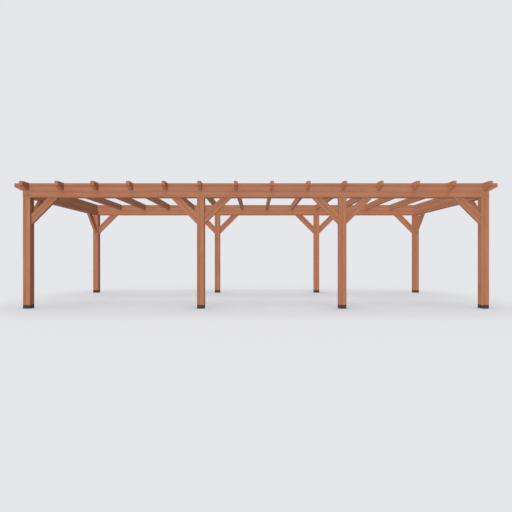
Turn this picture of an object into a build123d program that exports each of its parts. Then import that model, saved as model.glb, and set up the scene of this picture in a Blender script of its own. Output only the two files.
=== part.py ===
from build123d import *
import os
from math import cos, radians, tan

# A long open patio cover of squared timber, in millimetres.
# X runs along the front from left to right, Y from front to back, Z up from the ground.
# The origin lies on the ground, in the middle of the cover.

# Posts: square timbers on steel shoes, in a front row and a back row
post_size = 140.0
post_height = 2032.0  # from the top of the shoe to the underside of the beams
left_bay = 3290.0  # from post centre to post centre, along the front
middle_bay = 2688.0
right_bay = 2696.0
post_row_spacing = 3276.0  # from the front row's centre line to the back row's

# Shoes: steel cups that stand under the posts, flush with their faces
shoe_height = 70.0
shoe_plate = 8.0  # thickness of the plate on the ground
shoe_wall = 6.0
shoe_clearance = 0.5  # between the cup's wall and the post's foot inside it

# Beams: as thick as the posts, over the front row and the back row
beam_depth = 270.0
beam_tail = 160.0  # how far a beam runs past the corner post

# Rafters: laid from front to back and halved into the beams
rafter_thickness = 64.0
rafter_depth = 140.0
rafter_rise = 4.0  # how far the rafters' tops stand above the beams' tops
rafter_tail = 224.0  # how far a rafter runs past the beam
end_rafter_inset = 21.0  # from the corner post's centre line inwards to the end rafter's
lap_share = 0.5  # share of the rafter's depth that the halved joint takes out from below
left_bay_spaces = 5  # gaps between rafters in each bay
middle_bay_spaces = 4
right_bay_spaces = 4

# Tails: the underside of each beam's and rafter's end slopes up to a short upright nose
tail_run = 124.0  # length of the slope, measured level
tail_rise = 65.0  # height of the slope

# Knee braces: between the posts and the beams
brace_thickness = 63.0
brace_depth = 140.0
brace_reach = 506.0  # from the post's face to the brace's lower edge, along the beam
brace_angle = 45.0

arris = 2.5  # eased edge along every timber
cut_overrun = 20.0  # how far a cutting shape runs past what it cuts

# Places that follow from the sizes above
beam_underside = shoe_height + post_height
beam_top = beam_underside + beam_depth
rafter_underside = beam_top + rafter_rise - rafter_depth
side_beam_depth = rafter_underside - beam_underside
lap_depth = rafter_depth * lap_share
lap_seat = rafter_underside + lap_depth
post_row_length = left_bay + middle_bay + right_bay
beam_length = post_row_length + post_size + 2 * beam_tail
side_beam_length = post_row_spacing + post_size
rafter_length = side_beam_length + 2 * rafter_tail
front_row = -post_row_spacing / 2
back_row = post_row_spacing / 2
left_line = -post_row_length / 2
middle_left_line = left_line + left_bay
middle_right_line = middle_left_line + middle_bay
right_line = post_row_length / 2

post_lines = {
    "left": left_line,
    "middle_left": middle_left_line,
    "middle_right": middle_right_line,
    "right": right_line,
}
post_rows = {"front": front_row, "back": back_row}


def timber(length, thickness, depth):
    # A straight piece along X with eased long edges, standing on its underside
    section = chamfer(Rectangle(thickness, depth).vertices(), arris)
    return extrude(Plane.YZ * Pos(0, depth / 2) * section, length / 2, both=True)


def block(low, high):
    # A cutting block between two corners
    size = Vector(*high) - Vector(*low)
    middle = (Vector(*high) + Vector(*low)) / 2
    return Pos(*middle) * Box(size.X, size.Y, size.Z)


def both_ends(shape):
    # The shape at the right end of a piece, and its mirror image at the left end
    return shape + mirror(shape, about=Plane.YZ)


def tail_waste(length, thickness, underside):
    # What the sloping cuts take off the underside of both ends of a piece along X
    end = length / 2
    outline = [
        (end - tail_run, underside),
        (end, underside + tail_rise),
        (end + cut_overrun, underside + tail_rise),
        (end + cut_overrun, underside - cut_overrun),
        (end - tail_run, underside - cut_overrun),
    ]
    face = make_face(Polyline(*outline, close=True))
    return both_ends(extrude(Plane.XZ * face, thickness / 2 + cut_overrun, both=True))


def rafter_lines():
    # Even spaces within each bay, between the end rafters and those over the inner posts
    stops = [left_line + end_rafter_inset, middle_left_line]
    stops += [middle_right_line, right_line - end_rafter_inset]
    spaces = [left_bay_spaces, middle_bay_spaces, right_bay_spaces]
    lines = [stops[0]]
    for start, stop, count in zip(stops, stops[1:], spaces):
        pitch = (stop - start) / count
        lines += [start + pitch * (step + 1) for step in range(count)]
    return lines


def post():
    # The foot is cut back all round so that the shoe's wall stands flush with the post
    shaft = extrude(chamfer(Rectangle(post_size, post_size).vertices(), arris), post_height)
    foot_size = post_size - 2 * (shoe_wall + shoe_clearance)
    foot = extrude(Rectangle(foot_size, foot_size), shoe_plate - shoe_height)
    return Pos(0, 0, shoe_height) * (shaft + foot)


def shoe():
    outside = chamfer(Rectangle(post_size, post_size).vertices(), arris)
    inside = Rectangle(post_size - 2 * shoe_wall, post_size - 2 * shoe_wall)
    return extrude(outside, shoe_height) - Pos(0, 0, shoe_plate) * extrude(inside, shoe_height)


def main_beam():
    # Full depth between the side beams, and only the upper part runs on over them to the tails
    beam = timber(beam_length, post_size, beam_depth)
    half_width = post_size / 2 + cut_overrun
    side_beam_face = right_line - post_size / 2
    low = (side_beam_face, -half_width, -cut_overrun)
    high = (beam_length / 2 + cut_overrun, half_width, side_beam_depth)
    beam -= both_ends(block(low, high))
    beam -= tail_waste(beam_length, post_size, side_beam_depth)
    for line in rafter_lines():
        low = (line - rafter_thickness / 2, -half_width, lap_seat - beam_underside)
        high = (line + rafter_thickness / 2, half_width, beam_depth + cut_overrun)
        beam -= block(low, high)
    return Pos(0, 0, beam_underside) * beam


def side_beam():
    return Pos(0, 0, beam_underside) * Rot(0, 0, 90) * timber(side_beam_length, post_size, side_beam_depth)


def rafter():
    # Halved from below where it crosses the front beam and the back beam
    piece = timber(rafter_length, rafter_thickness, rafter_depth)
    piece -= tail_waste(rafter_length, rafter_thickness, 0)
    half_width = rafter_thickness / 2 + cut_overrun
    for row in post_rows.values():
        low = (row - post_size / 2, -half_width, -cut_overrun)
        high = (row + post_size / 2, half_width, lap_depth)
        piece -= block(low, high)
    return Pos(0, 0, rafter_underside) * Rot(0, 0, 90) * piece


def brace():
    # Leans up along +X from a post's face at X = 0 to a beam's underside at Z = 0
    brace_drop = brace_reach * tan(radians(brace_angle))
    length = brace_reach / cos(radians(brace_angle)) + 2 * cut_overrun
    bar = timber(length, brace_thickness, brace_depth)
    bar = Pos(brace_reach / 2, 0, -brace_drop / 2) * Rot(0, -brace_angle, 0) * bar
    half_width = brace_thickness / 2 + cut_overrun
    corner = block((0, -half_width, -brace_drop), (brace_reach, half_width, 0))
    return bar & corner


def brace_at(line, row, turn):
    # Turn 0 leans towards +X, 90 towards the back, 180 towards -X and 270 towards the front
    return Pos(line, row, beam_underside) * Rot(0, 0, turn) * Pos(post_size / 2, 0, 0) * brace()


nodes = {}

for row_name, row in post_rows.items():
    nodes[row_name + "_shoes"] = Compound([Pos(line, row, 0) * shoe() for line in post_lines.values()])
    nodes[row_name + "_beam"] = Pos(0, row, 0) * main_beam()
    inward = 90 if row_name == "front" else 270
    for line_name, line in post_lines.items():
        name = row_name + "_" + line_name
        nodes[name + "_post"] = Pos(line, row, 0) * post()
        if line_name != "left":
            nodes[name + "_brace_to_left"] = brace_at(line, row, 180)
        if line_name != "right":
            nodes[name + "_brace_to_right"] = brace_at(line, row, 0)
        if line_name in ("left", "right"):
            nodes[name + "_brace_to_side_beam"] = brace_at(line, row, inward)

for side_name, line in (("left", left_line), ("right", right_line)):
    nodes[side_name + "_side_beam"] = Pos(line, 0, 0) * side_beam()

for number, line in enumerate(rafter_lines(), start=1):
    nodes[f"rafter_{number:02d}"] = Pos(line, 0, 0) * rafter()

os.makedirs("parts", exist_ok=True)
for name, shape in nodes.items():
    export_step(shape, f"parts/{name}.step")
print(len(nodes), "nodes")
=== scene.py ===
import bpy
import bmesh
import math
import random
from mathutils import Matrix, Vector


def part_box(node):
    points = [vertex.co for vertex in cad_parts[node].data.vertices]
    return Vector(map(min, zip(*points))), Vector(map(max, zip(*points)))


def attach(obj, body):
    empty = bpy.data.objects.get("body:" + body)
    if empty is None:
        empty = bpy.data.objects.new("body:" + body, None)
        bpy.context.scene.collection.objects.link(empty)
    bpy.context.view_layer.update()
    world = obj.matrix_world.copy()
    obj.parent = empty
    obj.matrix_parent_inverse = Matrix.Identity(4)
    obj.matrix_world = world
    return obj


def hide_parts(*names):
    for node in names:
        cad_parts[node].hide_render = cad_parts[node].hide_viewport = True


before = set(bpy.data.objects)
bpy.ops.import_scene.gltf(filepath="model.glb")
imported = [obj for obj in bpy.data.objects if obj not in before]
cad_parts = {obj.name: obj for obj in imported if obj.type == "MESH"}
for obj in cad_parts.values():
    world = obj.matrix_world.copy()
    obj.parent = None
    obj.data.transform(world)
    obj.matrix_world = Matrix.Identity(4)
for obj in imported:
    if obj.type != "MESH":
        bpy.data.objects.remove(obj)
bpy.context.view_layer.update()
scene = bpy.context.scene
scene.view_settings.view_transform = "Standard"
print("frame loaded:", len(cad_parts), "nodes")


# small helpers for shader trees: a value is either a socket to link or a number to set
def feed(tree, socket, value):
    if isinstance(value, bpy.types.NodeSocket):
        tree.links.new(value, socket)
    else:
        socket.default_value = value


def addNode(tree, kind, inputs=None, **settings):
    node = tree.nodes.new(kind)
    for name, value in settings.items():
        setattr(node, name, value)
    for key, value in (inputs or {}).items():
        feed(tree, node.inputs[key], value)
    return node


def calc(tree, operation, *values):
    return addNode(tree, "ShaderNodeMath", dict(enumerate(values)), operation=operation).outputs[0]


def vectorCalc(tree, operation, *values):
    node = addNode(tree, "ShaderNodeVectorMath", dict(enumerate(values)), operation=operation)
    return node.outputs["Value" if operation == "LENGTH" else "Vector"]


def slide(tree, value, low, high):
    # straight from low to high as the value goes from 0 to 1
    return calc(tree, "MULTIPLY_ADD", value, high - low, low)


def ease(tree, value, start, stop, low=0.0, high=1.0):
    # a soft step from low to high as the value goes from start to stop
    inputs = {"Value": value, "From Min": start, "From Max": stop, "To Min": low, "To Max": high}
    return addNode(tree, "ShaderNodeMapRange", inputs, interpolation_type="SMOOTHSTEP").outputs[0]


def blendColour(tree, share, first, second):
    node = addNode(tree, "ShaderNodeMix", {0: share}, data_type="RGBA")
    for socket, value in ((node.inputs[6], first), (node.inputs[7], second)):
        feed(tree, socket, value if isinstance(value, bpy.types.NodeSocket) else (*value, 1))
    return node.outputs[2]


def noise(tree, place, waves, detail=2.0, rough=0.5):
    # waves to a metre, along each axis of the place
    inputs = {"Vector": vectorCalc(tree, "MULTIPLY", place, waves), "Scale": 1.0,
              "Detail": detail, "Roughness": rough}
    return addNode(tree, "ShaderNodeTexNoise", inputs)


def surfaceValue(tree, name, output="Fac"):
    return addNode(tree, "ShaderNodeAttribute", attribute_name=name).outputs[output]


def newMaterial(name):
    material = bpy.data.materials.new(name)
    material.use_nodes = True
    tree = material.node_tree
    return material, tree, tree.nodes["Principled BSDF"]


def addRelief(tree, shader, height, depth, strength):
    bump = addNode(tree, "ShaderNodeBump", {"Strength": strength, "Distance": depth, "Height": height})
    feed(tree, shader.inputs["Normal"], bump.outputs["Normal"])


cedarLook = {
    # colours
    "tan": (0.461, 0.216, 0.1225),
    "red": (0.432, 0.148, 0.0750),
    "lateWood": (0.300, 0.086, 0.042),
    "knot": (0.215, 0.066, 0.034),
    "knotCollar": (0.330, 0.099, 0.048),
    "paleEdge": (0.540, 0.272, 0.164),
    # growth from the heart outwards: widths, and the share of each that stays pale before it darkens
    "bandWidth": 0.103,  # broad colour bands, from the log's slow and quick years
    "bandPale": 0.2,
    "stripeWidth": 0.037,  # narrower stripes within them
    "stripePale": 0.3,
    "ringWidth": 0.0066,
    "ringPale": 0.35,
    "darkest": 0.9,  # share of the width where it is darkest
    "breakOff": 0.94,  # and where it starts to fall back to pale
    # grain: x runs along the timber, y and z across it
    "swayNoise": {"waves": (0.6, 2.6, 2.6)},
    "swayReach": 0.045,  # how far the grain wanders over a metre or two
    "rippleNoise": {"waves": (4.5, 15, 15)},
    "rippleReach": 0.010,
    "streakNoise": {"waves": (2.1, 42, 42), "detail": 3.0, "rough": 0.62},
    "fibreNoise": {"waves": (10, 380, 380)},
    "dashNoise": {"waves": (11, 210, 210), "detail": 1.0},
    "dashLimits": (0.58, 0.70),  # only the peaks of that noise leave a mark
    "patchNoise": {"waves": (1.7, 9, 9), "detail": 1.0},
    # what each of these adds to the share of red
    "bandRed": 0.72,
    "stripeRed": 0.28,
    "streakRed": (-1.03, 1.07),
    "patchRed": (-0.30, 0.30),
    # dark lines, pale edges and shade
    "ringLimits": (0.3, 0.7),  # of the patch noise
    "ringStrength": (0.10, 0.36),  # faint in some stretches of the log, plain in others
    "dashStrength": 0.34,  # short dark marks where the grain lies open
    "edgeLimits": (0.35, 0.65),  # of the streak noise
    "edgeStrength": (0.08, 0.4),
    "fibreShade": (0.93, 1.07),
    "endShade": 0.97,
    # knots
    "knotSpacing": (0.42, 0.105, 0.105),
    "knotRare": 0.5,  # share of the branches that stay smallest
    "knotSize": (0.001, 0.0095),  # radius of the smallest and the largest
    "coreFade": (0.7, 1.0),  # in knot radii
    "coreStrength": 0.65,
    "collarFade": (0.9, 2.6),
    "collarStrength": 0.45,
    # surface
    "roughness": (0.70, 0.86),
    "shine": 0.10,
    "fibreRelief": 0.8,
    "ringRelief": 0.35,
    "dashRelief": -0.5,
    "knotRelief": 0.4,
    "reliefDepth": 0.0008,
    "reliefStrength": 0.35,
}


def findKnots(tree, place):
    # one branch to a cell of the log: how thick it is, and where its core and collar are
    look = cedarLook
    cell = vectorCalc(tree, "DIVIDE", place, look["knotSpacing"])
    branch = addNode(tree, "ShaderNodeTexVoronoi", {"Vector": cell, "Scale": 1.0})
    away = vectorCalc(tree, "SUBTRACT", cell, branch.outputs["Position"])
    away = vectorCalc(tree, "LENGTH", vectorCalc(tree, "MULTIPLY", away, look["knotSpacing"]))
    chance = addNode(tree, "ShaderNodeSeparateColor", {0: branch.outputs["Color"]}).outputs[0]
    radius = ease(tree, chance, look["knotRare"], 1.0, *look["knotSize"])
    nearness = calc(tree, "DIVIDE", away, radius)
    core = ease(tree, nearness, *look["coreFade"], 1.0, 0.0)
    collar = ease(tree, nearness, *look["collarFade"], 1.0, 0.0)
    return radius, core, collar


def wander(tree, place, pattern, reach):
    # a drift across the grain, to either side
    middle = (0.5,) * 3  # of what the noise gives
    drift = vectorCalc(tree, "SUBTRACT", noise(tree, place, **pattern).outputs["Color"], middle)
    return vectorCalc(tree, "MULTIPLY", drift, (0, reach, reach))


def heartDistance(tree, place, knotRadius, knotCollar):
    # distance from the heart of the log, with the grain's sway and its flow round the knots
    sway = wander(tree, place, cedarLook["swayNoise"], cedarLook["swayReach"])
    ripple = wander(tree, place, cedarLook["rippleNoise"], cedarLook["rippleReach"])
    heart = vectorCalc(tree, "MULTIPLY", place, (0, 1, 1))
    heart = vectorCalc(tree, "ADD", vectorCalc(tree, "ADD", heart, sway), ripple)
    flow = calc(tree, "MULTIPLY", knotRadius, knotCollar)
    return calc(tree, "ADD", vectorCalc(tree, "LENGTH", heart), flow)


def growth(tree, distance, kind):
    # darkens slowly outwards and ends sharply, as a year's growth does
    look = cedarLook
    step = calc(tree, "FRACT", calc(tree, "DIVIDE", distance, look[kind + "Width"]))
    darkening = ease(tree, step, look[kind + "Pale"], look["darkest"])
    return calc(tree, "MULTIPLY", darkening, ease(tree, step, look["breakOff"], 1.0, 1.0, 0.0))


def makeCedar():
    # solid wood: everything is worked out from the place in the log, so grain runs on over every edge
    look = cedarLook
    material, tree, shader = newMaterial("stainedCedar")
    place = surfaceValue(tree, "grainPlace", "Vector")
    knotRadius, knotCore, knotCollar = findKnots(tree, place)
    distance = heartDistance(tree, place, knotRadius, knotCollar)
    band, stripe, ring = [growth(tree, distance, kind) for kind in ("band", "stripe", "ring")]
    streak = noise(tree, place, **look["streakNoise"]).outputs["Fac"]
    fibre = noise(tree, place, **look["fibreNoise"]).outputs["Fac"]
    dash = ease(tree, noise(tree, place, **look["dashNoise"]).outputs["Fac"], *look["dashLimits"])
    patch = noise(tree, place, **look["patchNoise"]).outputs["Fac"]

    # colour: tan to red, then dark lines, knots and paler edges
    redShare = calc(tree, "MULTIPLY_ADD", band, look["bandRed"], slide(tree, streak, *look["streakRed"]))
    redShare = calc(tree, "MULTIPLY_ADD", stripe, look["stripeRed"], redShare)
    redShare = calc(tree, "ADD", redShare, slide(tree, patch, *look["patchRed"]))
    colour = blendColour(tree, redShare, look["tan"], look["red"])
    ringShare = ease(tree, patch, *look["ringLimits"], *look["ringStrength"])
    ringShare = calc(tree, "MULTIPLY", ring, ringShare)
    dashShare = calc(tree, "MULTIPLY", dash, look["dashStrength"])
    colour = blendColour(tree, calc(tree, "MAXIMUM", ringShare, dashShare), colour, look["lateWood"])
    collarShare = calc(tree, "MULTIPLY", knotCollar, look["collarStrength"])
    colour = blendColour(tree, collarShare, colour, look["knotCollar"])
    coreShare = calc(tree, "MULTIPLY", knotCore, look["coreStrength"])
    colour = blendColour(tree, coreShare, colour, look["knot"])
    edgeShare = ease(tree, streak, *look["edgeLimits"], *look["edgeStrength"])
    edgeShare = calc(tree, "MULTIPLY", surfaceValue(tree, "arris"), edgeShare)
    colour = blendColour(tree, edgeShare, colour, look["paleEdge"])

    # shade: fibres, cut ends and the timber's own tone
    endShade = slide(tree, surfaceValue(tree, "endGrain"), 1.0, look["endShade"])
    shade = calc(tree, "MULTIPLY", slide(tree, fibre, *look["fibreShade"]), endShade)
    shade = calc(tree, "MULTIPLY", shade, surfaceValue(tree, "tone"))
    shaded = addNode(tree, "ShaderNodeVectorMath", {0: colour, "Scale": shade}, operation="SCALE")
    feed(tree, shader.inputs["Base Color"], shaded.outputs["Vector"])

    # surface: fibres, late wood and knots stand up, and open grain is sunk
    feed(tree, shader.inputs["Roughness"], slide(tree, fibre, *look["roughness"]))
    shader.inputs["Specular IOR Level"].default_value = look["shine"]
    fibreHeight = calc(tree, "MULTIPLY", fibre, look["fibreRelief"])
    height = calc(tree, "MULTIPLY_ADD", ring, look["ringRelief"], fibreHeight)
    height = calc(tree, "MULTIPLY_ADD", dash, look["dashRelief"], height)
    height = calc(tree, "ADD", height, calc(tree, "MULTIPLY", knotCore, look["knotRelief"]))
    addRelief(tree, shader, height, look["reliefDepth"], look["reliefStrength"])
    return material


shoeLook = {
    "paint": (0.048, 0.047, 0.0475),
    "worn": (0.120, 0.113, 0.108),  # rubbed paler along the edges
    "dust": (0.165, 0.150, 0.136),
    "dustHeight": 0.030,  # dust lies up to here above the floor
    # where the paint is worn or dusty: the limits are of the cloud noise
    "cloudNoise": {"waves": (26, 26, 34), "detail": 4.0, "rough": 0.6},
    "fadeLimits": (0.3, 0.7),
    "fadeStrength": (0.0, 0.16),
    "rubLimits": (0.38, 0.62),
    "rubStrength": (0.15, 0.9),
    "dustLimits": (0.40, 0.66),
    "dustStrength": (0.05, 0.5),
    "roughness": 0.70,
    "dustRoughness": 0.95,
    "shine": 0.14,
    "peelNoise": {"waves": (620, 620, 620)},
    "peelDepth": 0.0004,
    "peelStrength": 0.3,
}


def makeShoePaint():
    # matt powder coat with a fine orange-peel grain, rubbed edges and a little dust near the floor
    look = shoeLook
    material, tree, shader = newMaterial("shoePaint")
    place = addNode(tree, "ShaderNodeTexCoord").outputs["Object"]
    height = addNode(tree, "ShaderNodeSeparateXYZ", {0: place}).outputs["Z"]
    cloud = noise(tree, place, **look["cloudNoise"]).outputs["Fac"]
    faded = ease(tree, cloud, *look["fadeLimits"], *look["fadeStrength"])
    colour = blendColour(tree, faded, look["paint"], look["worn"])
    rubbed = ease(tree, cloud, *look["rubLimits"], *look["rubStrength"])
    rubbed = calc(tree, "MULTIPLY", surfaceValue(tree, "arris"), rubbed)
    colour = blendColour(tree, rubbed, colour, look["worn"])
    dust = ease(tree, cloud, *look["dustLimits"], *look["dustStrength"])
    dust = calc(tree, "MULTIPLY", ease(tree, height, 0.0, look["dustHeight"], 1.0, 0.0), dust)
    colour = blendColour(tree, dust, colour, look["dust"])
    feed(tree, shader.inputs["Base Color"], colour)
    feed(tree, shader.inputs["Roughness"], slide(tree, dust, look["roughness"], look["dustRoughness"]))
    shader.inputs["Specular IOR Level"].default_value = look["shine"]
    peel = noise(tree, place, **look["peelNoise"]).outputs["Fac"]
    addRelief(tree, shader, peel, look["peelDepth"], look["peelStrength"])
    return material


cedar = makeCedar()
shoePaint = makeShoePaint()
print("finishes ready")

meshing = {
    "weld": 1e-5,  # points closer than this are one
    "flatTurn": 1.0,  # faces that turn by less than this, in degrees, are joined
    "edgeTurn": 30.0,  # outward edges that turn by more than this are rounded
    "roundProfile": 0.5,  # part of a circle
}

timberCut = {
    "rounding": 0.0011,  # softens each cut edge
    "roundingSteps": 2,
    "arrisWidth": 0.0045,  # faces narrower than this are the eased edges
    "heartBands": (3, 4),  # colour bands from the heart of the log to the one that crosses the timber
    "bandEnd": {"post": 0.012, "rafter": 0.036, "beam": 0.050},  # that band's end, from the timber's middle
    "bandShift": 0.008,  # how far that varies from timber to timber
    "heartBearing": {"post": 0.0, "rafter": 90.0, "beam": 90.0},  # beside a post, and above the others
    "heartSwing": 14.0,  # how far the heart lies off that, in degrees
    "toneSpread": 0.03,
    "logLength": 60.0,  # timbers take their grain from different places along the log
    "seed": 23,
}


def timberKind(name):
    # braces are cut as the beams are
    if name.endswith("_post"):
        return "post"
    return "rafter" if name.startswith("rafter") else "beam"


def grainLine(name):
    # the way the grain runs in each timber
    if "_brace_to_" in name:
        if name.endswith("_left"):
            return Vector((-1, 0, 1))
        if name.endswith("_right"):
            return Vector((1, 0, 1))
        return Vector((0, 1 if name.startswith("front") else -1, 1))
    if name.endswith("_post"):
        return Vector((0, 0, 1))
    if name.startswith("rafter") or name.endswith("_side_beam"):
        return Vector((0, 1, 0))
    return Vector((1, 0, 0))


def timberPlace(name):
    # a frame of the timber's own, with x along the grain
    low, high = [Vector(corner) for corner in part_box(name)]
    along = grainLine(name).normalized()
    up = Vector((0, -1, 0)) if timberKind(name) == "post" else Vector((0, 0, 1))
    side = up.cross(along).normalized()
    up = along.cross(side)
    turn = Matrix((along, side, up)).transposed().to_4x4()
    return Matrix.Translation((low + high) / 2) @ turn


def roundedMesh(node, place, name, cut):
    # a copy of the solid in the given frame, with each outward edge rounded
    shape = bmesh.new()
    shape.from_mesh(node.data)
    shape.transform(place.inverted() @ node.matrix_world)
    bmesh.ops.remove_doubles(shape, verts=shape.verts, dist=meshing["weld"])
    bmesh.ops.dissolve_limit(shape, angle_limit=math.radians(meshing["flatTurn"]),
                             verts=shape.verts, edges=shape.edges)
    turn = math.radians(meshing["edgeTurn"])
    ridges = [edge for edge in shape.edges if edge.is_manifold and edge.calc_face_angle_signed() > turn]
    bmesh.ops.bevel(shape, geom=ridges, offset=cut["rounding"], segments=cut["roundingSteps"],
                    profile=meshing["roundProfile"], affect="EDGES", clamp_overlap=True)
    for face in shape.faces:
        face.smooth = True
    for edge in shape.edges:
        edge.smooth = not edge.is_manifold or abs(edge.calc_face_angle_signed()) < turn
    mesh = bpy.data.meshes.new(name)
    shape.to_mesh(mesh)
    shape.free()
    return mesh


def markArris(mesh, width):
    # marks the narrow faces along the edges, where a finish wears first
    mark = mesh.attributes.new("arris", "FLOAT", "FACE").data
    for face in mesh.polygons:
        corners = [mesh.vertices[i].co for i in face.vertices]
        longest = max((a - b).length for a, b in zip(corners, corners[1:] + corners[:1]))
        mark[face.index].value = face.area / longest < width


def placePiece(mesh, place, slot, *nodes):
    piece = bpy.data.objects.new(mesh.name, mesh)
    scene.collection.objects.link(piece)
    piece.matrix_world = place
    normals = piece.modifiers.new("flatFaces", "WEIGHTED_NORMAL")
    normals.keep_sharp = True
    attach(piece, "root")
    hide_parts(*nodes)
    return piece


grainMarks = {
    "grainPlace": ("FLOAT_VECTOR", "POINT"),  # the place in the log
    "tone": ("FLOAT", "POINT"),  # darker or paler than the other timbers
    "endGrain": ("FLOAT", "FACE"),  # 1 on a square cut end
}


def markGrain(mesh, heart, start, tone):
    # what the wood finish reads: all marks are made first, because a new one moves the others
    for name, (kind, domain) in grainMarks.items():
        mesh.attributes.new(name, kind, domain)
    place, toneMark, endMark = [mesh.attributes[name].data for name in grainMarks]
    shift = Vector((start, -heart[0], -heart[1]))
    for vertex in mesh.vertices:
        place[vertex.index].vector = vertex.co + shift
        toneMark[vertex.index].value = tone
    for face in mesh.polygons:
        endMark[face.index].value = face.normal.x ** 2


def makeTimber(name):
    cut = timberCut
    kind = timberKind(name)
    place = timberPlace(name)
    mesh = roundedMesh(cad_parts[name], place, name + "_timber", cut)
    draw = random.Random(f"{cut['seed']} {name}")
    reach = draw.choice(cut["heartBands"]) * cedarLook["bandWidth"] - cut["bandEnd"][kind]
    reach += draw.uniform(-1, 1) * cut["bandShift"]
    bearing = math.radians(cut["heartBearing"][kind] + draw.uniform(-1, 1) * cut["heartSwing"])
    heart = (reach * math.cos(bearing), reach * math.sin(bearing))
    tone = draw.uniform(1 - cut["toneSpread"], 1 + cut["toneSpread"])
    start = draw.uniform(0, cut["logLength"])
    markGrain(mesh, heart, start, tone)
    markArris(mesh, cut["arrisWidth"])
    mesh.materials.append(cedar)
    return placePiece(mesh, place, "timber", name)


timbers = [makeTimber(name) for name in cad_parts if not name.endswith("shoes")]
print("timbers cut and grained:", len(timbers))

shoeCut = {
    "rounding": 0.0016,
    "roundingSteps": 3,
    "arrisWidth": 0.0040,
}


def makeShoes(name):
    # a row of steel cups, one under each post
    place = Matrix()
    mesh = roundedMesh(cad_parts[name], place, name + "_cups", shoeCut)
    markArris(mesh, shoeCut["arrisWidth"])
    mesh.materials.append(shoePaint)
    return placePiece(mesh, place, "shoe_steel", name)


shoes = [makeShoes(name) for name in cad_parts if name.endswith("shoes")]
print("shoes made:", len(shoes), "rows")

studio = {
    "backdrop": (0.783, 0.799, 0.831),  # pale grey that the camera sees behind the cover
    "skyLight": (0.282, 0.316, 0.338),
    "floorSeen": (0.753, 0.745, 0.762),
    "floorBounce": (0.390, 0.415, 0.435),
    "floorSize": 120.0,
}


def cameraShare(tree):
    # 1 where the camera looks straight at the surface, or sees it mirrored or through glass
    path = addNode(tree, "ShaderNodeLightPath").outputs
    seen = calc(tree, "MAXIMUM", path["Is Camera Ray"], path["Is Glossy Ray"])
    return calc(tree, "MAXIMUM", seen, path["Is Transmission Ray"])


def showToCamera(tree, outputName, hidden, seen):
    # one shader for the camera, and another for the light that falls on the cover
    shaders = {0: cameraShare(tree), 1: hidden.outputs[0], 2: seen.outputs[0]}
    mix = addNode(tree, "ShaderNodeMixShader", shaders)
    feed(tree, tree.nodes[outputName].inputs["Surface"], mix.outputs[0])


def makeFloor():
    bpy.ops.mesh.primitive_plane_add(size=studio["floorSize"])
    floor = bpy.context.object
    floor.name = "studioFloor"
    material, tree, shader = newMaterial("studioFloorPaint")
    tree.nodes.remove(shader)
    bounce = addNode(tree, "ShaderNodeBsdfDiffuse", {"Color": (*studio["floorBounce"], 1)})
    seen = addNode(tree, "ShaderNodeBsdfDiffuse", {"Color": (*studio["floorSeen"], 1)})
    showToCamera(tree, "Material Output", bounce, seen)
    floor.data.materials.append(material)


def makeSky():
    world = bpy.data.worlds.new("studioSky")
    scene.world = world
    world.use_nodes = True
    tree = world.node_tree
    light = tree.nodes["Background"]
    light.inputs["Color"].default_value = (*studio["skyLight"], 1)
    backdrop = addNode(tree, "ShaderNodeBackground", {"Color": (*studio["backdrop"], 1)})
    showToCamera(tree, "World Output", light, backdrop)


# tilt 0 shines straight down, 90 level and 180 straight up, and a fill has no shadows or highlights
lamps = {
    "topLight": {"strength": 0.75, "tilt": 0, "turn": 0, "spread": 60.0, "fill": False},
    "frontLight": {"strength": 0.72, "tilt": 90, "turn": -36.0},  # from the front left
    "backLight": {"strength": 0.40, "tilt": 90, "turn": 180},
    "groundLight": {"strength": 0.05, "tilt": 180, "turn": 0},  # under the beams and rafters
}


def makeLamp(name, strength, tilt, turn, spread=0.0, fill=True):
    lamp = bpy.data.lights.new(name, "SUN")
    lamp.energy = strength * math.pi  # at strength 1 a face square to the lamp shows its own colour
    lamp.angle = math.radians(spread)
    lamp.use_shadow = not fill
    lampObject = bpy.data.objects.new(name, lamp)
    scene.collection.objects.link(lampObject)
    lampObject.rotation_euler = (math.radians(tilt), 0, math.radians(turn))
    lampObject.visible_glossy = not fill


makeFloor()
makeSky()
for name, settings in lamps.items():
    makeLamp(name, **settings)
print("floor, sky and lamps in place")

view = {
    "place": (0.0, -9.308, 1.0045),
    "lens": 28.27,
    "sensor": 36.0,
    "tilt": 89.933,  # a hair below level
    "farthest": 500.0,  # nothing past this is drawn
}


def makeCamera():
    lensData = bpy.data.cameras.new("frontView")
    lensData.lens = view["lens"]
    lensData.sensor_width = view["sensor"]
    lensData.clip_end = view["farthest"]
    camera = bpy.data.objects.new("frontView", lensData)
    scene.collection.objects.link(camera)
    camera.location = view["place"]
    camera.rotation_euler = (math.radians(view["tilt"]), 0, 0)
    scene.camera = camera


makeCamera()
print("camera in place")
